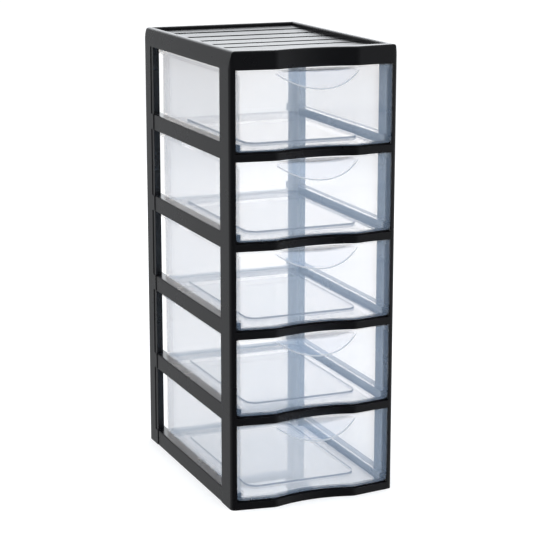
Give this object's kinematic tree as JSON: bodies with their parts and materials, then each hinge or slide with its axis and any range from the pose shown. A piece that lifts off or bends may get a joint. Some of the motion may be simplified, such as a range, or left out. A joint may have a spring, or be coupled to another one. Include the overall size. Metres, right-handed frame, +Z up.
{
  "type": "drawer storage tower",
  "caption": "Tall plastic storage tower: a black open-sided frame of stacked tiers under a slatted lid, with clear wavy-fronted drawers that slide out by hooded grips.",
  "frame": {"origin": "middle of the footprint, on the floor", "axes": "+Z up, -Y out of the drawer fronts, +X to the right when the fronts are looked at"},
  "size_m": [0.26, 0.402, 0.672],
  "materials": {
    "black_plastic": "satin",
    "clear_plastic": "clear gloss"
  },
  "bodies": {
    "tower": {"lid": "black_plastic", "tier_frame_1": "black_plastic", "tier_frame_2": "black_plastic", "tier_frame_3": "black_plastic", "tier_frame_4": "black_plastic", "tier_frame_5": "black_plastic"},
    "drawer_1": {"drawer_1": "clear_plastic"},
    "drawer_2": {"drawer_2": "clear_plastic"},
    "drawer_3": {"drawer_3": "clear_plastic"},
    "drawer_4": {"drawer_4": "clear_plastic"},
    "drawer_5": {"drawer_5": "clear_plastic"}
  },
  "joints": [
    {"name": "drawer_1_slide", "type": "slide", "parent": "tower", "child": "drawer_1", "axis": [0, -1, 0], "range_m": [0, 0.29]},
    {"name": "drawer_2_slide", "type": "slide", "parent": "tower", "child": "drawer_2", "axis": [0, -1, 0], "range_m": [0, 0.29]},
    {"name": "drawer_3_slide", "type": "slide", "parent": "tower", "child": "drawer_3", "axis": [0, -1, 0], "range_m": [0, 0.29]},
    {"name": "drawer_4_slide", "type": "slide", "parent": "tower", "child": "drawer_4", "axis": [0, -1, 0], "range_m": [0, 0.29]},
    {"name": "drawer_5_slide", "type": "slide", "parent": "tower", "child": "drawer_5", "axis": [0, -1, 0], "range_m": [0, 0.29]}
  ]
}
